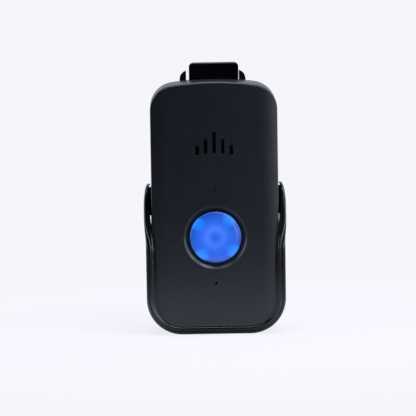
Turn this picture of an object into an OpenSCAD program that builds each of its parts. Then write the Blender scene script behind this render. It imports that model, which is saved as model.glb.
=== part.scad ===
// Mobile call pager in its belt-clip holster, with its inner parts, latch and swivel clip.
// +Z is up, the face looks along -Y, z = 0 is the underside of the holster and
// y = 0 is the front of the holster's back plate, where the pager's back lies.

/* [Pager body] */
// Width of the pager across its face
pager_w = 41; // [40.6:0.2:41.4]
// Height of the pager from its foot to the middle of its crowned top
pager_h = 80.1; // [78:0.1:82]
// Radius of the corners of the face
corner_r = 8.2; // [7.6:0.1:8.8]
// Radius of the crown along the top edge
crown_r = 95; // [70:5:160]
// Rounding of the edge around the face
face_round = 0.8; // [0.4:0.1:1.2]
// How far the face falls back towards its long edges
face_fall = 0.35; // [0.1:0.05:0.5]
// Rounding of the edge around the back
back_round = 1.6; // [1:0.1:1.6]

/* [Call button] */
// Diameter of the translucent cap
button_d = 16.8; // [16:0.1:16.8]
// Height of the button's centre over the underside of the holster
button_z = 31.7; // [31:0.1:32.4]
// Outer diameter of the countersunk ring in the face
recess_d = 20.5; // [19.6:0.1:21.4]
// Number of call lamps under the cap
lamp_count = 4; // [3:1:6]

/* [Speaker] */
// Number of sound slots
slot_count = 5; // [3:2:7]
// Width of one slot
slot_w = 1.15; // [0.8:0.05:1.4]
// Distance from slot to slot
slot_pitch = 2.75; // [2.4:0.05:2.8]
// Height of the lower end of the middle slot
slot_base_z = 59; // [58:0.5:60]
// Length of the middle slot
slot_len = 6.8; // [6:0.1:8]

/* [Holster] */
// Width of the cup at the lip
cup_w = 45.1; // [44.9:0.1:45.6]
// Radius of the lower corners of the cup
cup_r = 11.5; // [11:0.1:12.2]
// How far the side arms flare out beyond the cup
flare = 0.55; // [0.3:0.05:0.8]
// Height of the tips of the side arms
arm_z = 48.4; // [47.4:0.1:49.4]
// Thickness of the back plate
plate_t = 2.4; // [2.2:0.1:2.4]
// Height of the shoulders beside the latch
plate_top = 84.7; // [84:0.1:85.4]
// Width of the latch tongue
tongue_w = 16.1; // [15:0.1:16.1]
// Height of the top of the thumb tab
tab_top = 87.3; // [86.8:0.1:88]

/* [Belt clip] */
// Length of the clip's base plate
clip_len = 42; // [40:1:44]
// Width of the clip's base plate
clip_w = 22; // [21:0.5:23]
// Free gap for the belt between the swivel washer and the clip lever
belt_gap = 5; // [4.6:0.1:5.4]

/* [Hidden] */
$fn = 72;
eps = 0.01;

graphite = [0.13, 0.14, 0.16];
graphite_back = [0.11, 0.12, 0.13];
gloss_black = [0.03, 0.03, 0.035];
soft_black = [0.05, 0.05, 0.055];
call_blue = [0.16, 0.36, 0.85];
lamp_blue = [0.05, 0.45, 1];
milk = [0.9, 0.92, 0.94];
board_green = [0.05, 0.28, 0.16];
tin = [0.75, 0.76, 0.78];
gold = [0.85, 0.68, 0.3];
steel = [0.55, 0.56, 0.58];
foil = [0.6, 0.62, 0.66];
foam_grey = [0.2, 0.2, 0.22];
ceramic_tan = [0.72, 0.66, 0.52];

// Depths are measured from the pager's back towards its face.
pager_t = 17;
seam_a = 12.3;
seam_b = 12.8;
ledge = 15.4;
face_in = 15.2;
shell_wall = 1.6;
foot_z = 1.9;
head_z = foot_z + pager_h;
half_w = pager_w / 2;
cavity_half = half_w - shell_wall;
cavity_r = corner_r - shell_wall;
face_half = 19.15;
roll_x = 15.2;

board_a = 8.6;
board_b = 9.6;
boss_x = 15.4;
boss_zs = [foot_z + 6.3, head_z - 7];
boss_r = 2.4;
screw_r = 1;
screw_seat = 1.4;
screw_end = 14.6;
board_boss_x = 16;
board_boss_z = 47.5;

bore_r = button_d / 2 + 0.7;
lamp_r = 7.2;
lamp_turn = 52;
plunger_r = 1.6;
upper_hole_z = 46.9;
lower_hole_z = 16.7;

speaker_z = 62.3;
speaker_r = 9.9;
motor_z = 8.3;
motor_depth = 12;
motor_r = 2;
weight_r = 2.1;
weight_x = 3.9;
contact_x = 5;
contact_z = 13.6;

cup_half = cup_w / 2;
lip_front = 17.3;
lip_back = 15.8;
rim_step = 0.8;
rim_in = 1.3;
groove_w = 0.4;
groove_deep = 0.6;
vent_x = 20.9;
vent_z = 34.2;
vent_w = 0.6;
vent_len = 3;
arm_front = 11.5;
arm_drop_z = 43.9;
arm_mid = 7;
room = 0.35;
curve_zs = [for (k = [0:24]) cup_r + (arm_z - cup_r) * k / 24];

hinge_z = 62;
hinge_y = 1.2;
knuckle_r = 1.1;
slot_half = tongue_w / 2 + 0.6;
tongue_off = 0.35;

swivel_z = 44;
boss_y = plate_t + 1.2;
post_r = 4.5;
post_y = boss_y + 3;
base_y = boss_y + 0.2;
base_end = base_y + 2.6;
washer_y = post_y + 1.2;
lever_y = washer_y + belt_gap;
lever_t = 2;
pin_y = lever_y - 2.2;
pin_z = swivel_z + clip_len / 2 - 4.5;
pin_r = 1;
ear_x = 7.2;

// Even S-curve from 0 to 1 between a and b.
function ease(z, a, b) = let (t = min(1, max(0, (z - a) / (b - a)))) t * t * (3 - 2 * t);

// Points of a quarter round with edge size e, from the face side of the back to its wall.
function round_in(e) = [for (a = [0:22.5:90]) [e * (1 - sin(a)), e * (1 - cos(a))]];

// Points of a quarter round with edge size e that ends on the plane at depth d.
function round_out(e, d) = [for (a = [0:22.5:90]) [e * (1 - cos(a)), d - e + e * sin(a)]];

// Half-widths of the holster's curves over the height z.
function ear_drop(z) = z < arm_z - 7.4 ? 0 : 1.6 * (1 - sqrt(max(0, 1 - pow((z - arm_z + 7.4) / 7.4, 2))));
function outer_x(z) = cup_half + flare * ease(z, 29, 38) - ear_drop(z);
function rim_outer_x(z) = min(outer_x(z), cup_half - rim_in + (1.4 + flare) * ease(z, 28, 38));
function rim_inner_x(z) = cup_half - 2.5 + 1.35 * ease(z, 28, 43);
function wall_x(z) = half_w + room + 0.55 * ease(z, 28, 43);
function face_x(z) = face_half + 1.6 * ease(z, 26, 48);
function front_depth(z) = lip_front - (lip_front - arm_front) * ease(z, 28, arm_drop_z);

// Right-hand half of a U-shaped outline: side points from the top down, then the corner arc.
function u_corner(inset) = [
    for (a = [0:-7.5:-90])
        [cup_half - cup_r + (cup_r - inset) * cos(a), cup_r + (cup_r - inset) * sin(a)]
];
function flip(pts) = [for (k = [len(pts) - 1:-1:0]) [-pts[k][0], pts[k][1]]];
function down(pts) = [for (k = [len(pts) - 1:-1:0]) pts[k]];

// Draws a flat shape in the XZ plane and gives it the depths from a to b.
module layer(a, b) {
    translate([0, -a, 0])
        rotate([90, 0, 0])
            linear_extrude(b - a)
                children();
}

// Turns a [radius, depth] profile about an axis along Y through x, z.
module turned(x, z) {
    translate([x, 0, z])
        rotate([90, 0, 0])
            rotate_extrude($fn = 180)
                children();
}

// Extrudes a [y, z] profile along X from x0 to x1.
module along_x(x0, x1) {
    translate([x0, 0, 0])
        rotate([90, 0, 90])
            linear_extrude(x1 - x0)
                children();
}

// Rod along X with its centre line through y, z.
module x_rod(x0, x1, y, z, r) {
    translate([x0, y, z])
        rotate([0, 90, 0])
            cylinder(h = x1 - x0, r = r);
}

// Flat rectangle with round corners between the heights z0 and z1.
module round_rect(half, z0, z1, r) {
    translate([-half + r, z0])
        square([2 * (half - r), z1 - z0]);
    translate([-half, z0 + r])
        square([2 * half, z1 - z0 - 2 * r]);
    for (x = [-half + r, half - r], z = [z0 + r, z1 - r])
        translate([x, z])
            circle(r);
}

// Body with round corners, a crowned top and an edge given as [inset, depth] points.
module crowned_body(half, z0, z1, r, crown, edge) {
    a = edge[0][1];
    b = edge[len(edge) - 1][1];
    cx = half - r;
    phi = asin(cx / (crown - r));
    crown_z = z1 - crown;
    top_z = crown_z + (crown - r) * cos(phi);
    low_z = z0 + r;
    meet_x = crown * sin(phi) - 0.15;
    side = [for (p = edge) [half - p[0], -p[1]]];
    translate([0, 0, low_z])
        linear_extrude(top_z - low_z)
            polygon(concat(side, flip(side)));
    along_x(-cx, cx)
        polygon(concat([[-a, low_z + 1]], [for (p = edge) [-p[1], z0 + p[0]]], [[-b, low_z + 1]]));
    intersection() {
        turned(0, crown_z)
            polygon(concat([[0, a]], [for (p = edge) [crown - p[0], p[1]]], [[0, b]]));
        layer(a - 1, b + 1)
            translate([-meet_x, top_z - 2])
                square([2 * meet_x, 20]);
    }
    for (x = [-cx, cx], z = [low_z, top_z])
        turned(x, z)
            polygon(concat([[0, a]], [for (p = edge) [r - p[0], p[1]]], [[0, b]]));
}

// Outline of the raised face, drawn in at the sides where the holster's lips lie.
module face_outline() {
    zs = [for (k = [0:14]) 22 + 28 * k / 14];
    side = concat([[half_w + 1, head_z + 1]], down([for (z = zs) [face_x(z), z]]), u_corner(cup_half - face_half));
    polygon(concat(side, flip(side)));
}

// Flat in the middle, falling back on a large radius at both long edges.
module rolled_face() {
    roll_w = half_w - roll_x;
    roll_r = (roll_w * roll_w + face_fall * face_fall) / (2 * face_fall);
    translate([0, 0, -5])
        linear_extrude(head_z + 15) {
            translate([-roll_x, -pager_t])
                square([2 * roll_x, 12]);
            intersection() {
                union()
                    for (s = [-1, 1])
                        translate([s * roll_x, roll_r - pager_t])
                            circle(roll_r, $fn = 360);
                translate([-half_w - 2, -pager_t - 1])
                    square([2 * half_w + 4, 13]);
            }
        }
}

module front_cover() {
    color(graphite)
    difference() {
        union() {
            difference() {
                union() {
                    crowned_body(half_w, foot_z, head_z, corner_r, crown_r, [[0, seam_b], [0, ledge]]);
                    intersection() {
                        crowned_body(
                            half_w, foot_z, head_z, corner_r, crown_r,
                            concat([[0, ledge - 1]], round_out(face_round, pager_t))
                        );
                        layer(ledge - 1, pager_t + 1)
                            face_outline();
                        rolled_face();
                    }
                }
                layer(seam_b - 1, ledge - 1.2)
                    round_rect(cavity_half, foot_z + 1.6, head_z - 2.4, cavity_r);
                layer(ledge - 1.3, face_in)
                    round_rect(cavity_half - 1.5, foot_z + 3.1, head_z - 3.9, cavity_r - 1.5);
            }
            for (x = [-boss_x, boss_x], z = boss_zs)
                turned(x, z)
                    translate([0, 11.6])
                        square([boss_r, face_in - 11.6 + eps]);
            for (x = [-board_boss_x, board_boss_x])
                turned(x, board_boss_z)
                    translate([0, board_b])
                        square([2, face_in - board_b + eps]);
            turned(0, speaker_z)
                translate([speaker_r + 0.2, 13.2])
                    square([0.8, face_in - 13.2 + eps]);
        }
        turned(0, button_z)
            polygon([
                [0, face_in - 1], [bore_r, face_in - 1], [bore_r, pager_t - 0.9],
                [recess_d / 2, pager_t], [recess_d / 2, pager_t + 1], [0, pager_t + 1]
            ]);
        for (k = [0:slot_count - 1]) {
            n = k - (slot_count - 1) / 2;
            low = slot_base_z - 0.12 * n * n;
            high = slot_base_z + slot_len - 2.45 * abs(n) + 0.15 * n * n;
            layer(face_in - 1, pager_t + 1)
                translate([n * slot_pitch - slot_w / 2, low])
                    square([slot_w, max(1.5, high - low)]);
        }
        turned(0, upper_hole_z)
            translate([0, face_in - 1])
                square([0.36, pager_t]);
        turned(0, lower_hole_z)
            translate([0, face_in - 1])
                square([0.45, pager_t]);
        for (x = [-boss_x, boss_x], z = boss_zs)
            turned(x, z)
                translate([0, 11])
                    square([screw_r + 0.02, screw_end + 0.2 - 11]);
        for (x = [-board_boss_x, board_boss_x])
            turned(x, board_boss_z)
                translate([0, board_b - 1])
                    square([0.82, 5]);
    }
}

module rear_cover() {
    color(graphite_back)
    difference() {
        union() {
            difference() {
                crowned_body(
                    half_w, foot_z, head_z, corner_r, crown_r,
                    concat(round_in(back_round), [[0, seam_a]])
                );
                layer(shell_wall, seam_a + 1)
                    round_rect(cavity_half, foot_z + 1.6, head_z - 2.4, cavity_r);
            }
            for (x = [-boss_x, boss_x], z = boss_zs)
                turned(x, z)
                    translate([0, 1])
                        square([boss_r, 10.4]);
        }
        for (x = [-boss_x, boss_x], z = boss_zs)
            turned(x, z)
                polygon([
                    [0, -1], [2, -1], [2, screw_seat], [screw_r + 0.1, screw_seat],
                    [screw_r + 0.1, seam_a], [0, seam_a]
                ]);
        for (x = [-contact_x, contact_x])
            turned(x, contact_z)
                translate([0, -1])
                    square([1.45, 4]);
    }
}

module cover_gasket() {
    color(soft_black)
    difference() {
        crowned_body(
            half_w - 0.35, foot_z + 0.35, head_z - 0.35, corner_r - 0.35, crown_r - 0.35,
            [[0, seam_a], [0, seam_b]]
        );
        layer(seam_a - 1, seam_b + 1)
            round_rect(cavity_half, foot_z + 1.6, head_z - 2.4, cavity_r);
    }
}

module cover_screws() {
    color(steel)
    for (x = [-boss_x, boss_x], z = boss_zs)
        difference() {
            turned(x, z)
                polygon([
                    [0, 0.2], [1.6, 0.2], [1.8, 0.5], [1.8, screw_seat],
                    [screw_r, screw_seat], [screw_r, screw_end - 0.5], [0.5, screw_end], [0, screw_end]
                ]);
            for (turn = [0, 90])
                translate([x, -0.5, z])
                    rotate([0, turn, 0])
                        cube([1.9, 0.8, 0.4], center = true);
        }
}

module call_button() {
    color(call_blue)
    turned(0, button_z) {
        r = button_d / 2;
        polygon([
            [0, 14], [r + 1.4, 14], [r + 1.4, 14.9], [r, 14.9], [r, 16.45], [r - 0.12, 16.75],
            [r - 0.4, 17], [r - 0.9, 17.2], [r - 1.8, 17.38], [r - 3, 17.42], [r - 4.3, 17.36],
            [r - 5.5, 17.22], [r - 6.8, 17.1], [0, 17.05]
        ]);
    }
}

module button_diffuser() {
    color(milk)
    turned(0, button_z)
        translate([0, 13.2])
            square([6, 0.8]);
}

module button_seal() {
    color(soft_black)
    turned(0, button_z)
        translate([button_d / 2 + 0.3, face_in])
            square([0.4, 0.85]);
}

module call_switch() {
    color(tin)
    difference() {
        translate([-3, -11.8, button_z - 3])
            cube([6, 11.8 - board_b, 6]);
        turned(0, button_z)
            translate([0, 11])
                square([plunger_r + 0.05, 2]);
    }
}

module switch_plunger() {
    color(soft_black)
    turned(0, button_z)
        translate([0, 11.5])
            square([plunger_r, 1.7]);
}

module call_leds() {
    color(lamp_blue)
    for (k = [0:lamp_count - 1])
        translate([0, 0, button_z])
            rotate([0, -lamp_turn - k * 360 / lamp_count, 0])
                translate([lamp_r - 0.8, -board_b - 0.9, -0.8])
                    cube([1.6, 0.9, 1.6]);
}

module status_lens() {
    color(milk)
    turned(0, upper_hole_z)
        polygon([
            [0, 10.5], [0.8, 10.5], [0.8, 14.4], [1.3, 14.4], [1.3, face_in],
            [0.33, face_in], [0.33, 16.8], [0, 16.9]
        ]);
}

module status_led() {
    color(lamp_blue)
    translate([-0.8, -board_b - 0.6, upper_hole_z - 0.4])
        cube([1.6, 0.6, 0.8]);
}

module main_board() {
    color(board_green)
    difference() {
        layer(board_a, board_b)
            round_rect(18.3, foot_z + 2.4, head_z - 3.2, 5.4);
        for (x = [-boss_x, boss_x], z = boss_zs)
            turned(x, z)
                translate([0, board_a - 1])
                    square([boss_r + 0.4, 3]);
        for (x = [-board_boss_x, board_boss_x])
            turned(x, board_boss_z)
                translate([0, board_a - 1])
                    square([0.9, 3]);
    }
}

module board_screws() {
    color(steel)
    for (x = [-board_boss_x, board_boss_x])
        difference() {
            turned(x, board_boss_z)
                polygon([
                    [0, 7.5], [1.3, 7.5], [1.5, 7.8], [1.5, board_a], [0.8, board_a],
                    [0.8, 13], [0.4, 13.4], [0, 13.4]
                ]);
            for (turn = [0, 90])
                translate([x, -7.8, board_boss_z])
                    rotate([0, turn, 0])
                        cube([1.5, 0.7, 0.3], center = true);
        }
}

// Drawn tin can on the board with a row of vent holes.
module shield(x0, x1, z0, z1, top) {
    difference() {
        translate([x0, -top, z0])
            cube([x1 - x0, top - board_b, z1 - z0]);
        translate([x0 + 0.2, -top + 0.2, z0 + 0.2])
            cube([x1 - x0 - 0.4, top - board_b, z1 - z0 - 0.4]);
        for (k = [1:3], n = [1:3])
            turned(x0 + (x1 - x0) * k / 4, z0 + (z1 - z0) * n / 4)
                translate([0, top - 1])
                    square([0.4, 2]);
    }
}

module modem_shield() {
    color(tin)
    shield(2.5, 13.4, 43, 51.8, 11.4);
}

module processor_shield() {
    color(tin)
    shield(-14, -3.2, 11.5, 20.8, 11.2);
}

module sim_holder() {
    color(tin)
    difference() {
        translate([-13.8, -11, 43])
            cube([12.3, 11 - board_b, 8.8]);
        translate([-14.3, -10.7, 43.3])
            cube([12.5, 0.75, 8.2]);
        translate([-10.5, -12, 45])
            cube([5.6, 1.5, 4.8]);
    }
}

module sim_card() {
    color(milk)
    translate([-13.6, -10.65, 43.35])
        cube([11.7, 0.65, 8.1]);
}

module speaker_frame() {
    color(steel)
    difference() {
        turned(0, speaker_z)
            polygon([
                [0, 11.2], [6.2, 11.2], [speaker_r, 12.4], [speaker_r, 14.2], [8.9, 14.2],
                [8.9, 12.9], [5.9, 11.9], [0, 11.9]
            ]);
        for (k = [0:5])
            translate([0, 0, speaker_z])
                rotate([0, k * 60, 0])
                    translate([7.7, -12, 0])
                        rotate([90, 0, 0])
                            cylinder(h = 3, r = 0.9, center = true, $fn = 24);
    }
}

module speaker_cone() {
    color(soft_black)
    turned(0, speaker_z)
        polygon([
            [0, 13.4], [2.6, 12.9], [4.6, 12.4], [7.2, 13.1], [8.9, 13.2],
            [8.9, 13.5], [7.1, 13.4], [4.7, 12.8], [2.7, 13.3], [0, 13.8]
        ]);
}

module speaker_magnet() {
    color(tin)
    turned(0, speaker_z)
        polygon([[0, 9.7], [5, 9.7], [5.3, 10], [5.3, 11.2], [0, 11.2]]);
}

module speaker_gasket() {
    color(foam_grey)
    turned(0, speaker_z)
        translate([8.8, 14.2])
            square([speaker_r - 8.8, 0.8]);
}

module speaker_cloth() {
    color(soft_black)
    turned(0, speaker_z)
        translate([0, 15])
            square([speaker_r, 0.2]);
}

module microphone() {
    color(tin)
    turned(0, lower_hole_z)
        difference() {
            translate([0, board_b])
                square([2, 1.5]);
            translate([-1, 10.8])
                square([1.5, 1]);
        }
}

module mic_boot() {
    color(soft_black)
    turned(0, lower_hole_z)
        translate([0.5, 11.1])
            square([1.9, face_in - 11.1]);
}

module vibration_motor() {
    color(tin)
    union() {
        x_rod(-7, 3, -motor_depth, motor_z, motor_r);
        x_rod(2.9, 3.3, -motor_depth, motor_z, 0.8);
        translate([-6, -11, motor_z - 2.3])
            cube([8, 11 - board_b, 4.6]);
    }
}

module vibration_weight() {
    color(steel)
    union() {
        x_rod(3.35, weight_x + 3.5, -motor_depth, motor_z, 0.45);
        along_x(weight_x, weight_x + 3.2)
            translate([-motor_depth, motor_z])
                difference() {
                    circle(weight_r);
                    translate([-3, 0.5])
                        square([6, 3]);
                }
    }
}

module battery() {
    color(foil)
    union() {
        layer(2.4, 8)
            round_rect(14, 17, 55.5, 1.2);
        layer(3.2, 7.2)
            round_rect(11, 55, 57.5, 0.6);
    }
}

module battery_pad() {
    color(foam_grey)
    layer(shell_wall, 2.4)
        round_rect(12, 20, 52, 1);
}

module gps_antenna() {
    color(ceramic_tan)
    union() {
        layer(4.6, board_a)
            round_rect(9, 60, 78, 0.5);
        layer(4.5, 4.7)
            round_rect(6.5, 62.5, 75.5, 0.4);
    }
}

module cell_antenna() {
    color(soft_black)
    difference() {
        layer(shell_wall, board_a)
            round_rect(12, foot_z + 2, 10.8, 1);
        layer(3, board_a - 1.2)
            round_rect(10.6, foot_z + 3.2, 12, 0.6);
    }
}

module charge_contacts() {
    color(gold)
    for (x = [-contact_x, contact_x])
        turned(x, contact_z)
            polygon([[0, 0.1], [1.2, 0.1], [1.4, 0.3], [1.4, 2.4], [0.7, 2.4], [0.7, board_a], [0, board_a]]);
}

// Outline of the holster with the given side curve already turned into points.
module u_shape(side_pts, inset) {
    side = concat(down(side_pts), u_corner(inset));
    polygon(concat(side, flip(side)));
}

// Side view of the holster's walls: full height at the lip, sweeping back up to the arm tips.
module side_view(step) {
    zs = [for (k = [0:20]) 28 + (arm_drop_z - 28) * k / 20];
    rise = arm_z - arm_drop_z;
    polygon(concat(
        [[plate_t, -1], [step - lip_front, -1]],
        [for (z = zs) [step - front_depth(z), z]],
        [for (a = [7.5:7.5:90]) [-arm_mid - (arm_front - arm_mid - step) * cos(a), arm_drop_z + rise * sin(a)]],
        [for (a = [7.5:7.5:90]) [-arm_mid + (arm_mid + plate_t) * sin(a), 43 + 5.4 * cos(a)]]
    ));
}

// Side wall, floor and lip as one solid inside the given front outline.
module cup_solid(step) {
    intersection() {
        layer(-plate_t, lip_front - step)
            children();
        along_x(-30, 30)
            side_view(step);
    }
}

module plate_outline() {
    zs = [for (k = [0:12]) 41 + 21 * k / 12];
    top_half = 10.8;
    wide = outer_x(41);
    shoulder_r = 2.9;
    round_x = top_half - shoulder_r;
    round_z = plate_top - shoulder_r;
    side = concat(
        [for (a = [90:-15:0]) [round_x + shoulder_r * cos(a), round_z + shoulder_r * sin(a)]],
        down([for (z = zs) [wide - (wide - top_half) * ease(z, 41, 62), z]]),
        down([for (z = curve_zs) if (z < 40.5) [outer_x(z), z]]),
        u_corner(0)
    );
    polygon(concat(side, flip(side)));
}

module holster_shell() {
    color(gloss_black)
    difference() {
        union() {
            difference() {
                union() {
                    cup_solid(rim_step + groove_deep)
                        u_shape([for (z = curve_zs) [outer_x(z), z]], 0);
                    difference() {
                        cup_solid(rim_step)
                            u_shape([for (z = curve_zs) [outer_x(z), z]], 0);
                        layer(-plate_t - 1, lip_front + 1)
                            u_shape([for (z = curve_zs) [rim_outer_x(z) + groove_w, z]], rim_in - groove_w);
                    }
                    cup_solid(0)
                        u_shape([for (z = curve_zs) [rim_outer_x(z), z]], rim_in);
                }
                layer(0, lip_back)
                    polygon(let (
                        r = corner_r + room,
                        side = concat(
                            [[wall_x(50), 90]],
                            down([for (z = curve_zs) [wall_x(z), z]]),
                            [for (a = [0:-7.5:-90]) [half_w + room - r + r * cos(a), foot_z + r + r * sin(a)]]
                        )
                    ) concat(side, flip(side)));
                layer(lip_back - 1, lip_front + 1)
                    polygon(let (
                        side = concat(
                            [[rim_inner_x(50), 90]],
                            down([for (z = curve_zs) [rim_inner_x(z), z]]),
                            u_corner(2.5)
                        )
                    ) concat(side, flip(side)));
            }
            layer(-plate_t, 0)
                plate_outline();
            translate([0, 0, swivel_z])
                rotate([-90, 0, 0])
                    cylinder(h = boss_y, r = 9);
            translate([0, 0, swivel_z])
                rotate([-90, 0, 0])
                    cylinder(h = post_y, r = post_r);
        }
        layer(-plate_t - 1, 1)
            translate([-slot_half, hinge_z - knuckle_r - 0.35])
                square([2 * slot_half, 40]);
        for (s = [-1, 1])
            layer(-plate_t - 1, 0.5)
                translate([s * vent_x - vent_w / 2, vent_z])
                    square([vent_w, vent_len]);
        translate([0, 0.8, swivel_z])
            rotate([-90, 0, 0])
                cylinder(h = 10, r = 1.25);
    }
}

module latch() {
    hook_z = head_z + 0.25;
    color(gloss_black)
    intersection() {
        union() {
            along_x(tongue_off - tongue_w / 2, tongue_off + tongue_w / 2)
                polygon([
                    [hinge_y - knuckle_r + 0.1, hinge_z], [0.3, hinge_z + 2], [0.3, head_z - 1.5],
                    [-0.4, hook_z], [-3.1, hook_z], [-3.4, hook_z + 0.3], [-3.4, hook_z + 1.9],
                    [-3.1, tab_top - 0.8], [-2.9, tab_top - 0.35], [-2.3, tab_top], [-1.2, tab_top],
                    [-0.6, tab_top - 0.35], [0.3, hook_z + 2.9], [1.2, hook_z + 1.7], [2.1, hook_z + 1],
                    [2.3, head_z + 0.4], [2.3, hinge_z]
                ]);
            x_rod(tongue_off - tongue_w / 2, tongue_off + tongue_w / 2, hinge_y, hinge_z, knuckle_r);
        }
        translate([tongue_off, 0, 0])
            layer(-5, 5)
                round_rect(tongue_w / 2, hinge_z - knuckle_r - 0.01, tab_top + 0.01, 1.5);
    }
}

module swivel_washer() {
    color(steel)
    difference() {
        translate([0, post_y, swivel_z])
            rotate([-90, 0, 0])
                cylinder(h = washer_y - post_y, r = 7);
        translate([0, 0, swivel_z])
            rotate([-90, 0, 0])
                cylinder(h = 20, r = 1.6);
        turned(0, swivel_z)
            polygon([[0, -washer_y - 0.01], [2.9, -washer_y - 0.01], [1.6, -washer_y + 1], [0, -washer_y + 1]]);
    }
}

module swivel_screw() {
    color(steel)
    difference() {
        turned(0, swivel_z)
            polygon([
                [0, -washer_y + 0.05], [2.75, -washer_y + 0.05], [1.5, -washer_y + 1.05],
                [1.23, -washer_y + 1.2], [1.23, -1.6], [0.6, -1], [0, -1]
            ]);
        for (turn = [0, 90])
            translate([0, washer_y, swivel_z])
                rotate([0, turn, 0])
                    cube([3, 1.2, 0.6], center = true);
    }
}

module clip_base() {
    low = swivel_z - clip_len / 2;
    high = swivel_z + clip_len / 2;
    color(gloss_black)
    difference() {
        union() {
            layer(-base_end, -base_y)
                round_rect(clip_w / 2, low, high, 4);
            for (s = [-1, 1])
                along_x(s < 0 ? -ear_x - 2.6 : ear_x, s < 0 ? -ear_x : ear_x + 2.6)
                    polygon(concat(
                        [[base_end - 1, pin_z - 4.4], [base_end - 1, pin_z + 3]],
                        [for (a = [60:-15:-60]) [pin_y + 2.6 * cos(a), pin_z + 2.6 * sin(a)]]
                    ));
        }
        translate([0, 0, swivel_z])
            rotate([-90, 0, 0])
                cylinder(h = 20, r = post_r + 0.05);
        x_rod(-20, 20, pin_y, pin_z, pin_r + 0.01);
        for (k = [0:2])
            translate([-6, base_end - 0.4, low + 3 + 2.4 * k])
                cube([12, 1, 1]);
    }
}

module clip_lever() {
    low = swivel_z - clip_len / 2 + 1;
    high = pin_z + 10.5;
    color(gloss_black)
    difference() {
        union() {
            intersection() {
                along_x(-10, 10)
                    polygon([
                        [lever_y, pin_z - 4], [lever_y, low + 4.5], [lever_y - 2.6, low + 3.4],
                        [base_end + 1, low + 2], [base_end + 0.9, low + 1.2], [base_end + 1.6, low],
                        [lever_y - 0.6, low + 0.6], [lever_y + 1.2, low + 2.2], [lever_y + lever_t, low + 4.6],
                        [lever_y + lever_t, pin_z + 2], [lever_y + lever_t + 1.6, high - 0.6],
                        [lever_y + lever_t + 1, high], [lever_y + 0.6, high - 0.4], [lever_y, pin_z + 3.2]
                    ]);
                layer(-30, 0)
                    round_rect(10, low - 0.5, high + 0.5, 4);
            }
            for (s = [-1, 1])
                along_x(s < 0 ? -ear_x + 0.3 : 3.9, s < 0 ? -3.9 : ear_x - 0.3)
                    polygon(concat(
                        [[lever_y + 0.5, pin_z + 3.2], [lever_y + 0.5, pin_z - 3.6]],
                        [for (a = [-105:-15:-255]) [pin_y + 2.2 * cos(a), pin_z + 2.2 * sin(a)]]
                    ));
        }
        x_rod(-20, 20, pin_y, pin_z, pin_r + 0.03);
        for (s = [-1, 1])
            along_x(s < 0 ? -11 : ear_x - 0.3, s < 0 ? -ear_x + 0.3 : 11)
                translate([pin_y, pin_z])
                    circle(3.1);
        for (k = [0:3])
            translate([-7, lever_y + lever_t - 0.35, pin_z - 8 - 2.2 * k])
                cube([14, 2, 1]);
    }
}

module clip_pin() {
    color(steel)
    x_rod(-ear_x - 2.6, ear_x + 2.6, pin_y, pin_z, pin_r);
}

module clip_spring() {
    wire = 0.42;
    coil = pin_r + 0.1 + wire;
    leg = wire - 0.06;
    color(tin)
    union() {
        translate([0, pin_y, pin_z])
            rotate([0, 90, 0])
                rotate_extrude()
                    for (k = [-3:3])
                        translate([coil, k * 0.8])
                            circle(wire);
        translate([2.4, pin_y - coil, pin_z - 5.5])
            cylinder(h = 5.5, r = leg);
        translate([-2.4, pin_y + coil, pin_z - 5.5])
            cylinder(h = 5.5, r = leg);
    }
}

front_cover();
rear_cover();
cover_gasket();
cover_screws();
call_button();
button_diffuser();
button_seal();
call_switch();
switch_plunger();
call_leds();
status_lens();
status_led();
main_board();
board_screws();
modem_shield();
processor_shield();
sim_holder();
sim_card();
speaker_frame();
speaker_cone();
speaker_magnet();
speaker_gasket();
speaker_cloth();
microphone();
mic_boot();
vibration_motor();
vibration_weight();
battery();
battery_pad();
gps_antenna();
cell_antenna();
charge_contacts();
holster_shell();
latch();
swivel_washer();
swivel_screw();
clip_base();
clip_lever();
clip_pin();
clip_spring();
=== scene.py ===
import math

import bmesh
import bpy
from mathutils import Matrix, Vector


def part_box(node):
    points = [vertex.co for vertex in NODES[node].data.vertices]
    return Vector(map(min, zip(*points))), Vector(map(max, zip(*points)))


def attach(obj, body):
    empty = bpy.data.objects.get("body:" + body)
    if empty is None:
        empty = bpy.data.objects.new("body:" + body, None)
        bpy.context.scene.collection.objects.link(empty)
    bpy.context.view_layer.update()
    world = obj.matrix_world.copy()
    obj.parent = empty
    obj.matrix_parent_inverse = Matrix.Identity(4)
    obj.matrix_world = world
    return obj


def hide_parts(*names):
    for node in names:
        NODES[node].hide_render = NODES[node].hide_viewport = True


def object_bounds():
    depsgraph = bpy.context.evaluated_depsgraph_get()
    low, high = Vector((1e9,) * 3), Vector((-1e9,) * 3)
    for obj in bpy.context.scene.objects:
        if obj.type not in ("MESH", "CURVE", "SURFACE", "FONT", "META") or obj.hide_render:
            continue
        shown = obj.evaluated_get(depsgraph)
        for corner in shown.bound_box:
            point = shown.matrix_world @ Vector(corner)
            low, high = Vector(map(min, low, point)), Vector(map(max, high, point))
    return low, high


bl_info = {
    "name": "Call Pager Looks",
    "version": (1, 0, 0),
    "blender": (4, 5, 0),
    "location": "View3D > Sidebar > Pager",
    "description": "Gives the call pager, its holster and its belt clip their surfaces, and sets the studio",
    "category": "Object",
}

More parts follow.
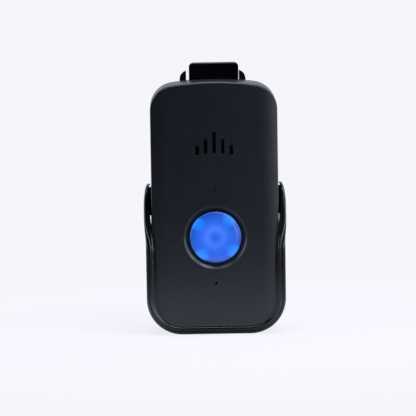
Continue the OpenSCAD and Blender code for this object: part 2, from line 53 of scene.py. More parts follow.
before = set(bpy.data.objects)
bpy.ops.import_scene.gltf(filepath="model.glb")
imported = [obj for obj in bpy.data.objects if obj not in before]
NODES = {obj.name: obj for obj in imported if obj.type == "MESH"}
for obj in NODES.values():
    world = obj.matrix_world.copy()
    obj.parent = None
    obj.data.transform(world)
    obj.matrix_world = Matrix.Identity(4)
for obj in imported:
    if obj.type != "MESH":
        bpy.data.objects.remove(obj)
CAD_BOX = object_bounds()
MM = 0.001
VIEW_WIDTH = 134.1 * MM
AIM_RIGHT = 2.25 * MM
AIM_UP = 2.39 * MM
FLOOR_RADIUS = 0.32
CREASE = math.radians(32)
JOIN_GAP = 0.001 * MM


def linear(code):
    """An sRGB hex colour as linear RGBA."""
    values = [int(code[k : k + 2], 16) / 255 for k in (1, 3, 5)]
    return tuple(v / 12.92 if v <= 0.04045 else ((v + 0.055) / 1.055) ** 2.4 for v in values) + (1.0,)


def put(tree, kind, inputs=None, **settings):
    """Adds a node, sets its properties, and gives each input a value or a link from an output socket."""
    node = tree.nodes.new(kind)
    for name, value in settings.items():
        setattr(node, name, value)
    for name, value in (inputs or {}).items():
        socket = node.inputs[name]
        if isinstance(value, bpy.types.NodeSocket):
            tree.links.new(value, socket)
        else:
            socket.default_value = value
    return node


def new_material(name):
    """An empty node material with its tree."""
    material = bpy.data.materials.new(name)
    material.use_nodes = True
    material.node_tree.nodes.clear()
    return material, material.node_tree


def close(tree, surface):
    """Joins the finished shader to the material's output."""
    put(tree, "ShaderNodeOutputMaterial", {"Surface": surface})


def place(tree):
    """Coordinates in metres on the object itself."""
    return put(tree, "ShaderNodeTexCoord").outputs["Object"]


def ramp(tree, factor, stops):
    """A colour ramp with the given position and colour stops."""
    node = put(tree, "ShaderNodeValToRGB", {"Fac": factor})
    elements = node.color_ramp.elements
    while len(elements) < len(stops):
        elements.new(0.5)
    for element, (position, colour) in zip(elements, stops):
        element.position = position
        element.color = colour
    return node.outputs["Color"]


def grey(value):
    """A neutral linear colour."""
    return (value, value, value, 1.0)


def moulded_abs(name, colour, rough, grain_mm, grain_depth_mm):
    """ABS moulded in a spark-eroded tool: the fine pitting makes it dull and breaks up each reflection."""
    material, tree = new_material(name)
    coords = place(tree)
    grain = put(
        tree,
        "ShaderNodeTexNoise",
        {"Vector": coords, "Scale": 1 / (grain_mm * MM), "Detail": 3.0, "Roughness": 0.6},
    ).outputs["Fac"]
    cloud = put(
        tree, "ShaderNodeTexNoise", {"Vector": coords, "Scale": 1 / (9 * MM), "Detail": 2.0}
    ).outputs["Fac"]
    tone = ramp(tree, cloud, [(0.3, linear(colour[0])), (0.75, linear(colour[1]))])
    gloss = put(
        tree,
        "ShaderNodeMapRange",
        {"Value": grain, "From Min": 0.3, "From Max": 0.7, "To Min": rough - 0.05, "To Max": rough + 0.05},
    ).outputs["Result"]
    bump = put(
        tree,
        "ShaderNodeBump",
        {"Height": grain, "Strength": 0.5, "Distance": grain_depth_mm * MM},
    ).outputs["Normal"]
    shader = put(
        tree,
        "ShaderNodeBsdfPrincipled",
        {"Base Color": tone, "Roughness": gloss, "IOR": 1.54, "Normal": bump},
    )
    close(tree, shader.outputs["BSDF"])
    return material


def polished_plastic(name, colour, rough, worn=0.05, wave_mm=0.05, specular=0.5):
    """Polished polycarbonate blend: mirror-like edges, faint flow waves and handling haze."""
    material, tree = new_material(name)
    coords = place(tree)
    waves = put(
        tree, "ShaderNodeTexNoise", {"Vector": coords, "Scale": 1 / (7 * MM), "Detail": 1.0}
    ).outputs["Fac"]
    haze = put(
        tree, "ShaderNodeTexNoise", {"Vector": coords, "Scale": 1 / (1.6 * MM), "Detail": 4.0}
    ).outputs["Fac"]
    gloss = put(
        tree,
        "ShaderNodeMapRange",
        {"Value": haze, "From Min": 0.35, "From Max": 0.75, "To Min": rough, "To Max": rough + worn},
    ).outputs["Result"]
    bump = put(
        tree, "ShaderNodeBump", {"Height": waves, "Strength": 0.25, "Distance": wave_mm * MM}
    ).outputs["Normal"]
    tone = ramp(tree, haze, [(0.3, linear(colour[0])), (0.8, linear(colour[1]))])
    shader = put(
        tree,
        "ShaderNodeBsdfPrincipled",
        {
            "Base Color": tone,
            "Roughness": gloss,
            "IOR": 1.58,
            "Specular IOR Level": specular,
            "Normal": bump,
        },
    )
    close(tree, shader.outputs["BSDF"])
    return material


def silicone(name, colour):
    """Moulded silicone rubber: very dull, slightly dusty."""
    material, tree = new_material(name)
    coords = place(tree)
    dust = put(
        tree, "ShaderNodeTexNoise", {"Vector": coords, "Scale": 1 / (0.6 * MM), "Detail": 3.0}
    ).outputs["Fac"]
    tone = ramp(tree, dust, [(0.35, linear(colour[0])), (0.8, linear(colour[1]))])
    bump = put(
        tree, "ShaderNodeBump", {"Height": dust, "Strength": 0.3, "Distance": 0.02 * MM}
    ).outputs["Normal"]
    shader = put(
        tree,
        "ShaderNodeBsdfPrincipled",
        {"Base Color": tone, "Roughness": 0.75, "IOR": 1.41, "Normal": bump},
    )
    close(tree, shader.outputs["BSDF"])
    return material


def worked_metal(name, colour, rough, streak_mm):
    """Plated sheet or turned metal: fine streaks from rolling or turning in a satin plating."""
    material, tree = new_material(name)
    coords = place(tree)
    long_way = put(
        tree, "ShaderNodeMapping", {"Vector": coords, "Scale": (1.0, 1.0, 0.08)}
    ).outputs["Vector"]
    streaks = put(
        tree, "ShaderNodeTexNoise", {"Vector": long_way, "Scale": 1 / (streak_mm * MM), "Detail": 3.0}
    ).outputs["Fac"]
    tone = ramp(tree, streaks, [(0.3, linear(colour[0])), (0.75, linear(colour[1]))])
    gloss = put(
        tree,
        "ShaderNodeMapRange",
        {"Value": streaks, "From Min": 0.3, "From Max": 0.7, "To Min": rough - 0.06, "To Max": rough + 0.08},
    ).outputs["Result"]
    bump = put(
        tree, "ShaderNodeBump", {"Height": streaks, "Strength": 0.3, "Distance": 0.01 * MM}
    ).outputs["Normal"]
    shader = put(
        tree,
        "ShaderNodeBsdfPrincipled",
        {"Base Color": tone, "Metallic": 1.0, "Roughness": gloss, "Normal": bump},
    )
    close(tree, shader.outputs["BSDF"])
    return material


def speckled(name, colour, rough, grain_mm, ior):
    """Fired ceramic, foam or coated board: a speckle at the size of its grain."""
    material, tree = new_material(name)
    coords = place(tree)
    grain = put(
        tree, "ShaderNodeTexVoronoi", {"Vector": coords, "Scale": 1 / (grain_mm * MM)}
    ).outputs["Distance"]
    tone = ramp(tree, grain, [(0.1, linear(colour[0])), (0.7, linear(colour[1]))])
    bump = put(
        tree, "ShaderNodeBump", {"Height": grain, "Strength": 0.3, "Distance": 0.03 * MM}
    ).outputs["Normal"]
    shader = put(
        tree,
        "ShaderNodeBsdfPrincipled",
        {"Base Color": tone, "Roughness": rough, "IOR": ior, "Normal": bump},
    )
    close(tree, shader.outputs["BSDF"])
    return material


def woven_cloth(name, colour, thread_mm):
    """Acoustic dust cloth: crossed threads that let only a dull grid show in the slots."""
    material, tree = new_material(name)
    coords = place(tree)
    sets = []
    for axis in ("X", "Z"):
        wave = put(
            tree,
            "ShaderNodeTexWave",
            {"Vector": coords, "Scale": math.pi / 10 / (thread_mm * MM)},
            bands_direction=axis,
        )
        sets.append(wave.outputs["Fac"])
    weave = put(tree, "ShaderNodeMath", {0: sets[0], 1: sets[1]}, operation="MULTIPLY").outputs[0]
    tone = ramp(tree, weave, [(0.1, linear(colour[0])), (0.9, linear(colour[1]))])
    bump = put(
        tree, "ShaderNodeBump", {"Height": weave, "Strength": 0.5, "Distance": 0.05 * MM}
    ).outputs["Normal"]
    shader = put(
        tree, "ShaderNodeBsdfPrincipled", {"Base Color": tone, "Roughness": 0.9, "Normal": bump}
    )
    close(tree, shader.outputs["BSDF"])
    return material


def lit_cap(name, centre, radius, lamps, colours, lamp_colour):
    """Tinted polycarbonate over four lamps, with their glow painted on as emission: brighter over each lamp
    and in a painted ring round the dished middle.
    """
    material, tree = new_material(name)
    coords = place(tree)
    flat = put(
        tree, "ShaderNodeVectorMath", {0: coords, 1: (1.0, 0.0, 1.0)}, operation="MULTIPLY"
    ).outputs["Vector"]
    far = put(
        tree,
        "ShaderNodeVectorMath",
        {0: flat, 1: (centre.x, 0.0, centre.z)},
        operation="DISTANCE",
    ).outputs["Value"]
    across = put(tree, "ShaderNodeMath", {0: far, 1: radius}, operation="DIVIDE").outputs[0]
    # Painted light: the ramp makes the glow dimmer in the middle, brightest in a ring at a third of the
    # radius and dimmer towards the edge.
    glow = ramp(tree, across, [(at, linear(code)) for at, code in colours])
    # Painted light: a brighter spot of lamp colour is painted over each lamp.
    for lamp in lamps:
        away = put(
            tree, "ShaderNodeVectorMath", {0: flat, 1: (lamp.x, 0.0, lamp.z)}, operation="DISTANCE"
        ).outputs["Value"]
        spot = put(
            tree,
            "ShaderNodeMapRange",
            {"Value": away, "From Min": 0.9 * MM, "From Max": 3.0 * MM, "To Min": 1.0, "To Max": 0.0},
            interpolation_type="SMOOTHERSTEP",
        ).outputs["Result"]
        glow = mix_rgba(tree, spot, glow, linear(lamp_colour))
    rim = put(
        tree,
        "ShaderNodeMapRange",
        {"Value": far, "From Min": radius * 0.985, "From Max": radius, "To Min": 1.0, "To Max": 0.0},
    ).outputs["Result"]
    mist = put(
        tree, "ShaderNodeTexNoise", {"Vector": coords, "Scale": 1 / (0.5 * MM), "Detail": 3.0}
    ).outputs["Fac"]
    bump = put(
        tree, "ShaderNodeBump", {"Height": mist, "Strength": 0.2, "Distance": 0.01 * MM}
    ).outputs["Normal"]
    shader = put(
        tree,
        "ShaderNodeBsdfPrincipled",
        {
            "Base Color": linear("#0a1a4a"),
            "Roughness": 0.28,
            "IOR": 1.58,
            "Emission Color": glow,
            "Emission Strength": rim,
            "Normal": bump,
        },
    )
    close(tree, shader.outputs["BSDF"])
    return material


def mix_rgba(tree, factor, first, second):
    """Mixes two colours by a factor socket."""
    node = put(tree, "ShaderNodeMix", data_type="RGBA")
    for name, value in (("Factor_Float", factor), ("A_Color", first), ("B_Color", second)):
        socket = next(s for s in node.inputs if s.identifier == name)
        if isinstance(value, bpy.types.NodeSocket):
            tree.links.new(value, socket)
        else:
            socket.default_value = value
    return next(s for s in node.outputs if s.identifier == "Result_Color")


def smooth_group():
    """A node group that joins split vertices and shades smooth up to a crease angle."""
    group = bpy.data.node_groups.get("crease_shading")
    if group:
        return group
    group = bpy.data.node_groups.new("crease_shading", "GeometryNodeTree")
    group.interface.new_socket("Geometry", in_out="INPUT", socket_type="NodeSocketGeometry")
    group.interface.new_socket("Geometry", in_out="OUTPUT", socket_type="NodeSocketGeometry")
    start = put(group, "NodeGroupInput").outputs[0]
    bare = put(
        group, "GeometryNodeRemoveAttribute", {"Geometry": start, "Name": "custom_normal"}
    ).outputs[0]
    whole = put(group, "GeometryNodeMergeByDistance", {"Geometry": bare, "Distance": JOIN_GAP}).outputs[0]
    angle = put(group, "GeometryNodeInputMeshEdgeAngle").outputs["Unsigned Angle"]
    soft = put(
        group, "FunctionNodeCompare", {"A": angle, "B": CREASE}, operation="LESS_EQUAL"
    ).outputs[0]
    faces = put(
        group, "GeometryNodeSetShadeSmooth", {"Geometry": whole, "Shade Smooth": True}, domain="FACE"
    ).outputs[0]
    edges = put(
        group, "GeometryNodeSetShadeSmooth", {"Geometry": faces, "Shade Smooth": soft}, domain="EDGE"
    ).outputs[0]
    put(group, "NodeGroupOutput", {0: edges})
    return group


def soften(obj, width_mm, angle=35):
    """Rounds a part's sharp moulded edges and shades its curves smooth."""
    join = obj.modifiers.new("join", "NODES")
    join.node_group = smooth_group()
    if width_mm > 0:
        bevel = obj.modifiers.new("edge_round", "BEVEL")
        bevel.width = width_mm * MM
        bevel.segments = 3
        bevel.limit_method = "ANGLE"
        bevel.angle_limit = math.radians(angle)
        bevel.use_clamp_overlap = True
        bevel.miter_outer = "MITER_ARC"
        shade = obj.modifiers.new("shade", "NODES")
        shade.node_group = smooth_group()
        flats = obj.modifiers.new("flats", "WEIGHTED_NORMAL")
        flats.keep_sharp = True


def dress(material, *names):
    """Gives a material to CAD nodes."""
    for name in names:
        slots = NODES[name].data.materials
        slots.clear()
        slots.append(material)


def hex_prop(name, description, default):
    """A string property that holds an sRGB hex colour."""
    return bpy.props.StringProperty(name=name, description=description, default=default)


class PagerColours(bpy.types.PropertyGroup):
    """Colours of the pieces that show."""

    face: hex_prop("Face", "Colour of the front cover's graphite ABS", "#0c0f13")
    back: hex_prop("Rear cover", "Colour of the rear cover's graphite ABS", "#0c0f13")
    holster: hex_prop("Holster", "Colour of the polished black holster", "#08090b")
    lamp: hex_prop("Call lamps", "Colour of the cap over a lamp", "#1480ff")


class PagerSizes(bpy.types.PropertyGroup):
    """Sizes of surface detail."""

    grain: bpy.props.FloatProperty(
        name="Grain",
        description="Width of the eroded grain on the covers in mm",
        default=0.35,
        min=0.1,
        max=1.0,
    )


class PagerStudio(bpy.types.PropertyGroup):
    """Where the camera stands."""

    azimuth: bpy.props.FloatProperty(
        name="Azimuth",
        description="Camera angle round the pager",
        default=math.radians(-0.5),
        subtype="ANGLE",
    )
    elevation: bpy.props.FloatProperty(
        name="Elevation",
        description="Camera angle above the floor",
        default=math.radians(6.5),
        subtype="ANGLE",
    )
    roll: bpy.props.FloatProperty(
        name="Roll", description="Camera roll", default=math.radians(-0.9), subtype="ANGLE"
    )
    distance: bpy.props.FloatProperty(
        name="Distance", description="Camera distance", default=1.0, unit="LENGTH", min=0.3, max=3.0
    )


class PAGER_OT_stage(bpy.types.Operator):
    """Sets the camera, the pale floor and the soft lights"""

    bl_idname = "pager.stage"
    bl_label = "Studio"

    def execute(self, context):
        studio = context.scene.pager_studio
        self.make_camera(context, studio)
        self.make_world(context)
        self.make_floor(context)
        self.make_lights(context)
        context.scene.view_settings.view_transform = "Standard"
        return {"FINISHED"}

    def make_camera(self, context, studio):
        """A long lens from the pager's front, a little above it."""
        data = bpy.data.cameras.new("studio_camera")
        camera = bpy.data.objects.new("studio_camera", data)
        context.collection.objects.link(camera)
        a = studio.azimuth
        e = studio.elevation
        back = Vector((math.sin(a) * math.cos(e), -math.cos(a) * math.cos(e), math.sin(e)))
        turn = (-back).to_track_quat("-Z", "Y") @ Matrix.Rotation(studio.roll, 3, "Z").to_quaternion()
        right = turn @ Vector((1, 0, 0))
        up = turn @ Vector((0, 1, 0))
        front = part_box("front_cover")[0].y
        aim = Vector((0, front, CAD_BOX[1].z / 2)) - right * AIM_RIGHT - up * AIM_UP
        camera.location = aim + back * studio.distance
        camera.rotation_mode = "QUATERNION"
        camera.rotation_quaternion = turn
        data.sensor_width = 36
        data.lens = data.sensor_width * studio.distance / VIEW_WIDTH
        data.clip_start = 0.01
        context.scene.camera = camera

    def make_world(self, context):
        """A pale backdrop that lights the pager from behind and the sides more than from the front."""
        world = bpy.data.worlds.new("studio")
        context.scene.world = world
        world.use_nodes = True
        tree = world.node_tree
        tree.nodes.clear()
        way = put(tree, "ShaderNodeTexCoord").outputs["Generated"]
        parts = put(tree, "ShaderNodeSeparateXYZ", {"Vector": way}).outputs
        from_back = put(
            tree,
            "ShaderNodeMapRange",
            {"Value": parts["Y"], "From Min": -0.3, "From Max": 0.5, "To Min": 0.015, "To Max": 0.9},
        ).outputs["Result"]
        shown = put(tree, "ShaderNodeBackground", {"Color": linear("#f6f5fa"), "Strength": 1.0}).outputs[0]
        light = put(
            tree, "ShaderNodeBackground", {"Color": linear("#dfe8fa"), "Strength": from_back}
        ).outputs[0]
        seen = put(tree, "ShaderNodeLightPath").outputs["Is Camera Ray"]
        both = put(tree, "ShaderNodeMixShader", {0: seen, 1: light, 2: shown}).outputs[0]
        put(tree, "ShaderNodeOutputWorld", {"Surface": both})

    def make_floor(self, context):
        """A round pale table card under the pager; the light it gives the pager is painted, with painted
        shade close to the pager and a painted pool of light further out.
        """
        mesh = bpy.data.meshes.new("floor_card")
        card = bmesh.new()
        bmesh.ops.create_circle(card, cap_ends=True, cap_tris=True, segments=96, radius=FLOOR_RADIUS)
        card.to_mesh(mesh)
        card.free()
        floor = bpy.data.objects.new("floor_card", mesh)
        floor.location = (0, 0, -0.05 * MM)
        context.collection.objects.link(floor)
        material, tree = new_material("matt_white_card")
        far = put(
            tree, "ShaderNodeVectorMath", {0: place(tree)}, operation="LENGTH"
        ).outputs["Value"]
        share = put(
            tree,
            "ShaderNodeMapRange",
            {"Value": far, "From Min": 0.02, "From Max": 0.16, "To Min": 0.16, "To Max": 0.0},
        ).outputs["Result"]
        # Painted light: in reflections the card is dim within 2 cm of the pager (painted shade), brightest
        # near 4 cm and fading out by 16 cm (a painted pool of light).
        reach = put(tree, "ShaderNodeMath", {0: far, 1: 0.2}, operation="DIVIDE").outputs[0]
        painted_floor_light = ramp(
            tree,
            reach,
            [(0.1, grey(0.25)), (0.2, grey(1.0)), (0.36, grey(0.85)), (0.8, grey(0.08))],
        )
        painted_floor_light = put(tree, "ShaderNodeMath", {0: painted_floor_light, 1: 1.45}, operation="MULTIPLY").outputs[0]
        glow = put(tree, "ShaderNodeEmission", {"Color": linear("#f6f5fa"), "Strength": 1.0}).outputs[0]
        matt = put(tree, "ShaderNodeBsdfDiffuse", {"Color": linear("#f6f5fa")}).outputs[0]
        shown = put(tree, "ShaderNodeMixShader", {0: share, 1: glow, 2: matt}).outputs[0]
        painted_bounce_light = put(
            tree, "ShaderNodeEmission", {"Color": linear("#dfe8fa"), "Strength": painted_floor_light}
        ).outputs[0]
        # Camera rays see the evenly pale card; all other rays see the painted light.
        seen = put(tree, "ShaderNodeLightPath").outputs["Is Camera Ray"]
        close(tree, put(tree, "ShaderNodeMixShader", {0: seen, 1: painted_bounce_light, 2: shown}).outputs[0])
        mesh.materials.append(material)

    def make_lights(self, context):
        """Softboxes above, a strip to the right of the camera and a broad one on each side."""
        aim = Vector((0, -8 * MM, 45 * MM))
        lights = (
            ("softbox_over", (0.0, -0.06, 0.59), 0.25, 0.25, 1.2),
            ("high_right", (0.2, -0.2, 0.52), 0.2, 0.2, 1.1),
            ("high_left", (-0.2, -0.2, 0.52), 0.2, 0.2, 0.4),
            ("wide_right", (0.39, -0.23, 0.36), 0.25, 0.25, 0.5),
            ("strip_right", (0.17, -0.36, 0.1), 0.07, 0.32, 0.26),
            ("strip_low", (0.13, -0.28, 0.035), 0.06, 0.06, 0.04),
            ("side_right", (0.5, -0.1, 0.15), 0.4, 0.5, 2.4),
            ("side_left", (-0.5, -0.1, 0.15), 0.4, 0.5, 1.9),
        )
        for name, spot, wide, tall, power in lights:
            data = bpy.data.lights.new(name, "AREA")
            data.shape = "RECTANGLE"
            data.size = wide
            data.size_y = tall
            data.energy = power
            data.color = linear("#e2ebff")[:3]
            lamp = bpy.data.objects.new(name, data)
            context.collection.objects.link(lamp)
            lamp.location = spot
            lamp.rotation_mode = "QUATERNION"
            lamp.rotation_quaternion = (aim - Vector(spot)).to_track_quat("-Z", "Y")


class PAGER_OT_covers(bpy.types.Operator):
    """Surfaces of the front and rear covers with their gasket and screws"""

    bl_idname = "pager.covers"
    bl_label = "Covers"

    def execute(self, context):
        colours = context.scene.pager_colours
        sizes = context.scene.pager_sizes
        # Spark-eroded tool texture: dull graphite whose fine pits spread each reflection into a soft sheen.
        # The grain is drawn coarser than the real one so that it shows.
        face = moulded_abs("spark_eroded_abs", (colours.face, "#12161b"), 0.32, sizes.grain, 0.02)
        # The same texture on the rear cover, slightly duller.
        back = moulded_abs("spark_eroded_abs_rear", (colours.back, "#11151a"), 0.36, sizes.grain, 0.02)
        # Moulded silicone: light sinks in, so seams and seals read as dark lines.
        rubber = silicone("moulded_silicone", ("#050506", "#0d0d0e"))
        # Zinc-plated steel: satin grey with fine streaks, bright against the plastic.
        plated = worked_metal("zinc_plated_steel", ("#8f9195", "#b4b6ba"), 0.32, 0.2)
        dress(face, "front_cover")
        dress(back, "rear_cover")
        dress(rubber, "cover_gasket", "mic_boot", "button_seal")
        dress(plated, "cover_screws", "board_screws", "clip_pin", "swivel_washer", "swivel_screw")
        dress(plated, "vibration_weight", "speaker_frame")
        soften(NODES["front_cover"], 0.12)
        soften(NODES["rear_cover"], 0.12)
        for name in ("cover_gasket", "button_seal", "cover_screws"):
            soften(NODES[name], 0.0)
        return {"FINISHED"}


class PAGER_OT_button(bpy.types.Operator):
    """Glowing cap of the call button with what lies under it"""

    bl_idname = "pager.button"
    bl_label = "Call button"

    def execute(self, context):
        colours = context.scene.pager_colours
        low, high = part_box("call_button")
        centre = (low + high) / 2
        radius = (high.x - low.x) / 2 - 1.4 * MM
        lamps = []
        for k in range(4):
            angle = math.radians(52 + 90 * k)
            lamps.append(centre + Vector((math.cos(angle), 0, math.sin(angle))) * 7.2 * MM)
        rings = (
            (0.0, "#1e62de"),
            (0.12, "#2264e2"),
            (0.32, "#3f78f6"),
            (0.46, "#2e6cec"),
            (0.66, "#2460e0"),
            (0.88, "#1654c8"),
            (1.0, "#0e3e90"),
        )
        # Tinted polycarbonate over lamps: a painted blue glow, brighter over the four lamps.
        cap = lit_cap("tinted_polycarbonate_lit", centre, radius, lamps, rings, colours.lamp)
        dress(cap, "call_button")
        soften(NODES["call_button"], 0.0)
        # Opal polycarbonate: a soft white that spreads light.
        milk = speckled("opal_polycarbonate", ("#dfe3e8", "#eef1f5"), 0.5, 0.3, 1.58)
        dress(milk, "button_diffuser", "sim_card")
        # Glass-filled nylon: dull black with a faint mottle.
        black = polished_plastic("glass_filled_nylon", ("#0c0c0d", "#141416"), 0.5)
        dress(black, "switch_plunger", "speaker_cone", "cell_antenna")
        # Smoked polycarbonate, its reflection turned down so that it reads as a small dark hole.
        smoked = polished_plastic("smoked_polycarbonate", ("#010101", "#020202"), 0.6, specular=0.08)
        dress(smoked, "status_lens")
        # Lamp phosphor: a speckled bright blue.
        lamp = speckled("lamp_phosphor_blue", ("#0a70fa", "#3a96ff"), 0.3, 0.3, 1.5)
        dress(lamp, "call_leds", "status_led")
        return {"FINISHED"}


class PAGER_OT_inside(bpy.types.Operator):
    """Board, battery, antennas, speaker and small parts inside"""

    bl_idname = "pager.inside"
    bl_label = "Inner parts"

    def execute(self, context):
        # Solder mask over glass epoxy: semi-gloss green with a fine speckle.
        board = speckled("solder_masked_glass_epoxy", ("#0c4a2c", "#14603a"), 0.35, 0.5, 1.5)
        # Tinned steel sheet: bright satin with rolling streaks.
        tin = worked_metal("tinned_steel_sheet", ("#b8babd", "#d2d4d6"), 0.25, 0.3)
        # Gold plate on brass: warm, smooth contacts.
        gold = worked_metal("gold_plated_brass", ("#d2a441", "#e6c067"), 0.2, 0.2)
        # Laminated battery foil: grey metal with wide, soft streaks.
        foil = worked_metal("laminated_battery_foil", ("#9aa0a8", "#b6bbc2"), 0.38, 0.6)
        # Closed-cell foam: very dull, with a speckle for its cells.
        foam = speckled("closed_cell_foam", ("#222326", "#36373a"), 0.95, 0.4, 1.45)
        # Fired ceramic: pale tan and dull, with fine grains.
        ceramic = speckled("fired_antenna_ceramic", ("#b5a684", "#c9bd9e"), 0.7, 0.25, 1.6)
        # Acoustic cloth: black crossed threads, spaced wider than real ones so that they show.
        cloth = woven_cloth("acoustic_dust_cloth", ("#010102", "#060607"), 0.3)
        dress(board, "main_board")
        dress(tin, "modem_shield", "processor_shield", "sim_holder", "microphone", "vibration_motor")
        dress(tin, "speaker_magnet", "call_switch", "clip_spring")
        dress(gold, "charge_contacts")
        dress(foil, "battery")
        dress(foam, "battery_pad", "speaker_gasket")
        dress(ceramic, "gps_antenna")
        dress(cloth, "speaker_cloth")
        return {"FINISHED"}


def ease(z, a, b):
    """Even S-curve from 0 to 1 between a and b."""
    t = min(1.0, max(0.0, (z - a) / (b - a)))
    return t * t * (3 - 2 * t)


class Cup:
    """The holster's cup in mm: its wall, tiers and lip along a path from the arm's tip to the middle."""

    flare = 0.55
    corner = 11.5
    pager_corner = 8.2
    room = 0.35
    widen = 0.55
    tier = 1.3
    lip = 2.5
    flange = 0.75
    tier_step = 0.8
    groove_w = 0.35
    groove_deep = 0.6
    sweep_z = 28.0
    arm_join = 43.9
    arm_top = 48.4
    arm_front = 11.5
    arm_mid = 7.0
    ear_z = 43.0
    ear_drop = 1.6
    ear_round = 7.4
    plate = 2.32

    def __init__(self):
        low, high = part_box("holster_shell")
        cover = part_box("front_cover")
        self.half = high.x / MM - self.flare
        self.front = -low.y / MM
        self.back = -self.plate
        self.pager_half = cover[1].x / MM
        self.foot = cover[0].z / MM

    def outer(self, z):
        """Half-width of the outer wall."""
        start = self.arm_top - self.ear_round
        drop = 0.0
        if z > start:
            drop = self.ear_drop * (1 - math.sqrt(max(0.0, 1 - ((z - start) / self.ear_round) ** 2)))
        return self.half + self.flare * ease(z, 29, 38) - drop

    def side(self, z, front, back):
        """One station on the straight side and the arm."""
        outer = self.outer(z)
        bead = min(outer, self.half - self.tier + (self.tier + 0.1 + self.flare) * ease(z, self.sweep_z, 38))
        inner = self.half - self.lip + 1.35 * ease(z, self.sweep_z, 43)
        wall = self.pager_half + self.room + self.widen * ease(z, self.sweep_z, 43)
        inner = min(inner, outer - 0.9)
        wall = min(wall, outer - 0.8)
        flange = max(0.02, self.flange * (1 - ease(z, 22, 30)))
        return ((outer, z), (-1.0, 0.0), (wall, z), front, back, outer - bead, outer - inner, flange)

    def stations(self):
        """Half of the path, from the arm's tip down the side and round the corner to the bottom."""
        path = []
        rise = self.arm_top - self.arm_join
        for k in range(12):
            a = math.radians(89 - 89 * k / 11)
            z = self.arm_join + rise * math.sin(a)
            reach = min(1.0, (z - self.ear_z) / (self.arm_top - self.ear_z))
            back = self.arm_mid - (self.arm_mid - self.back) * math.sqrt(1 - reach * reach)
            path.append(self.side(z, self.arm_mid + (self.arm_front - self.arm_mid) * math.cos(a), back))
        steps = 44
        for k in range(1, steps):
            z = self.arm_join - (self.arm_join - self.corner) * k / steps
            front = self.front - (self.front - self.arm_front) * ease(z, self.sweep_z, self.arm_join)
            back = self.back
            if z > self.ear_z:
                reach = (z - self.ear_z) / (self.arm_top - self.ear_z)
                back = self.arm_mid - (self.arm_mid - self.back) * math.sqrt(1 - reach * reach)
            path.append(self.side(z, front, back))
        r = self.pager_corner + self.room
        for k in range(25):
            a = math.radians(-90 * k / 24)
            c, d = math.cos(a), math.sin(a)
            outside = (self.half - self.corner + self.corner * c, self.corner + self.corner * d)
            wall = (self.pager_half + self.room - r + r * c, self.foot + r + r * d)
            path.append((outside, (-c, -d), wall, self.front, self.back, self.tier, self.lip, self.flange))
        return path

    def ring(self, station):
        """Points of the wall's section: outer tier, groove, rounded bead, lip and inner wall."""
        (ox, oz), (nx, nz), wall, front, back, w1, w2, flange = station
        deep = front - back
        k = min(1.0, deep / 5)
        low = front - self.tier_step * k
        shelf = max(w1 - self.groove_w, 0.0)
        e = 0.92 * shelf
        dip = 0.06 * k * min(1.0, shelf / 0.2)
        g = self.groove_deep * ease(w1, 0.0, 0.7) * k
        width = w2 - w1
        r = min(0.62, width / 2)
        h = r * k
        keep = front - 1.5 * k
        if front > 15.2:
            keep = max(keep, min(15.6, front - 0.4))
        section = [
            (0.3 * k, back), (0.08 * k, back + 0.08 * k), (0.0, back + 0.3 * k), (0.0, back + 0.35 * deep),
            (0.0, back + 0.65 * deep),
            (0.0, low - e * k),
            (0.08 * e, low - 0.6 * e * k),
            (0.3 * e, low - 0.27 * e * k),
            (0.62 * e, low - 0.07 * e * k), (e, low), (0.5 * (e + shelf), low - dip / 6), (shelf, low - dip),
            (shelf + 0.25 * (w1 - shelf), low - g), (w1, low - g),
            (w1, front - h), (w1 + 0.08 * r, front - 0.6 * h), (w1 + 0.3 * r, front - 0.29 * h),
            (w1 + 0.62 * r, front - 0.1 * h), (w1 + r, front - 0.02 * h), (w1 + 0.5 * width, front),
            (w2 - r, front - 0.04 * h), (w2 - 0.62 * r, front - 0.12 * h), (w2 - 0.3 * r, front - 0.31 * h),
            (w2 - 0.08 * r, front - 0.62 * h),
            (w2, front - h),
            (w2, keep + 0.15 * k),
            (w2 + flange, keep + 0.12 * k),
            (w2 + flange, keep),
        ]
        points = [(ox + nx * i, oz + nz * i, d) for i, d in section]
        for d in (keep - 0.02, back + 0.6 * (keep - back), back + 0.3 * (keep - back), back):
            points.append((wall[0], wall[1], d))
        return points


def cup_mesh(cup, into):
    """Sweeps the section along both halves of the cup."""
    half = [cup.ring(station) for station in cup.stations()]
    rings = [[(x, z, d) for x, z, d in ring] for ring in half]
    rings += [[(-x, z, d) for x, z, d in ring] for ring in reversed(half)]
    rows = [[into.verts.new((x * MM, -d * MM, z * MM)) for x, z, d in ring] for ring in rings]
    count = len(rows[0])
    faces = []
    for a, b in zip(rows, rows[1:]):
        for k in range(count):
            n = (k + 1) % count
            faces.append(into.faces.new((a[k], a[n], b[n], b[k])))
    faces.append(into.faces.new(rows[0]))
    faces.append(into.faces.new(list(reversed(rows[-1]))))
    bmesh.ops.recalc_face_normals(into, faces=faces)


VENT_EDGE = 20.6 * MM
VENT_FOOT = 34.0 * MM
VENT_HEAD = 37.4 * MM
VENT_CLOSE = 0.3 * MM


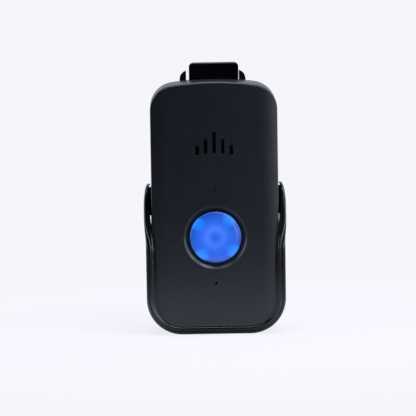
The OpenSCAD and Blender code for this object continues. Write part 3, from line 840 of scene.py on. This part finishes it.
def plate_mesh(into):
    """The back plate with its swivel post, cut from the holster and drawn in a little under the skin."""
    cut = bmesh.new()
    cut.from_mesh(NODES["holster_shell"].data)
    bmesh.ops.remove_doubles(cut, verts=cut.verts, dist=0.0005 * MM)
    everything = cut.verts[:] + cut.edges[:] + cut.faces[:]
    bmesh.ops.bisect_plane(
        cut,
        geom=everything,
        dist=0.0001 * MM,
        plane_co=(0, -0.05 * MM, 0),
        plane_no=(0, 1, 0),
        clear_inner=True,
    )
    open_edges = [edge for edge in cut.edges if edge.is_boundary]
    bmesh.ops.triangle_fill(cut, edges=open_edges, use_beauty=True)
    bmesh.ops.recalc_face_normals(cut, faces=cut.faces)
    for vert in cut.verts:
        if abs(abs(vert.co.x) - VENT_EDGE) < 0.05 * MM and VENT_FOOT < vert.co.z < VENT_HEAD:
            vert.co.x += math.copysign(VENT_CLOSE, vert.co.x)
        vert.co.x *= 0.997
        vert.co.z = vert.co.z * 0.9985 + 0.06 * MM
    bmesh.ops.triangulate(cut, faces=[face for face in cut.faces if len(face.verts) > 4])
    plain = bpy.data.meshes.new("plate_cut")
    cut.to_mesh(plain)
    cut.free()
    into.from_mesh(plain)
    bpy.data.meshes.remove(plain)


class PAGER_OT_holster(bpy.types.Operator):
    """Polished holster with its latch"""

    bl_idname = "pager.holster"
    bl_label = "Holster and latch"

    def execute(self, context):
        colours = context.scene.pager_colours
        # Polished polycarbonate blend: deep black with clear highlights and faint handling haze.
        gloss = polished_plastic("polished_polycarbonate_blend", (colours.holster, "#0c0d10"), 0.16)
        # The same blend with less haze: nearly black on its flat front, with clean edges.
        latch_black = polished_plastic(
            "polished_polycarbonate_latch", ("#020203", "#030304"), 0.12, 0.02, 0.005
        )
        dress(gloss, "holster_shell")
        dress(latch_black, "latch")
        build = bmesh.new()
        cup_mesh(Cup(), build)
        plate_mesh(build)
        mesh = bpy.data.meshes.new("holster_skin")
        build.to_mesh(mesh)
        build.free()
        mesh.materials.append(gloss)
        skin = bpy.data.objects.new("holster_skin", mesh)
        context.collection.objects.link(skin)
        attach(skin, "pager_in_holster")
        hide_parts("holster_shell")
        soften(skin, 0.0)
        soften(NODES["latch"], 0.3)
        return {"FINISHED"}


class PAGER_OT_clip(bpy.types.Operator):
    """Swivel clip behind the holster"""

    bl_idname = "pager.clip"
    bl_label = "Belt clip"

    def execute(self, context):
        # Grained nylon: dull black with fine pits and broad, soft highlights.
        matt = moulded_abs("grained_nylon", ("#101113", "#17181a"), 0.4, 0.4, 0.02)
        dress(matt, "clip_base", "clip_lever")
        for name in ("clip_base", "clip_lever"):
            soften(NODES[name], 0.25)
        for name in ("clip_pin", "swivel_washer", "swivel_screw"):
            soften(NODES[name], 0.08)
        return {"FINISHED"}


class PAGER_PT_panel(bpy.types.Panel):
    """Lists the steps that dress the pager"""

    bl_label = "Call Pager"
    bl_idname = "PAGER_PT_panel"
    bl_space_type = "VIEW_3D"
    bl_region_type = "UI"
    bl_category = "Pager"

    def draw(self, context):
        for group in ("pager_colours", "pager_sizes", "pager_studio"):
            holder = getattr(context.scene, group)
            for key in holder.__annotations__:
                self.layout.prop(holder, key)
        for step in STEPS:
            self.layout.operator(step.bl_idname)


GROUPS = {"pager_colours": PagerColours, "pager_sizes": PagerSizes, "pager_studio": PagerStudio}
STEPS = (PAGER_OT_stage, PAGER_OT_covers, PAGER_OT_button, PAGER_OT_inside, PAGER_OT_holster, PAGER_OT_clip)


def register():
    for name, group in GROUPS.items():
        bpy.utils.register_class(group)
        setattr(bpy.types.Scene, name, bpy.props.PointerProperty(type=group))
    for step in STEPS:
        bpy.utils.register_class(step)
    bpy.utils.register_class(PAGER_PT_panel)


def unregister():
    bpy.utils.unregister_class(PAGER_PT_panel)
    for step in reversed(STEPS):
        bpy.utils.unregister_class(step)
    for name, group in GROUPS.items():
        delattr(bpy.types.Scene, name)
        bpy.utils.unregister_class(group)


def main():
    register()
    bpy.ops.pager.stage()
    bpy.ops.pager.covers()
    bpy.ops.pager.button()
    bpy.ops.pager.inside()
    bpy.ops.pager.holster()
    bpy.ops.pager.clip()
    bpy.context.view_layer.update()


if __name__ == "__main__":
    main()
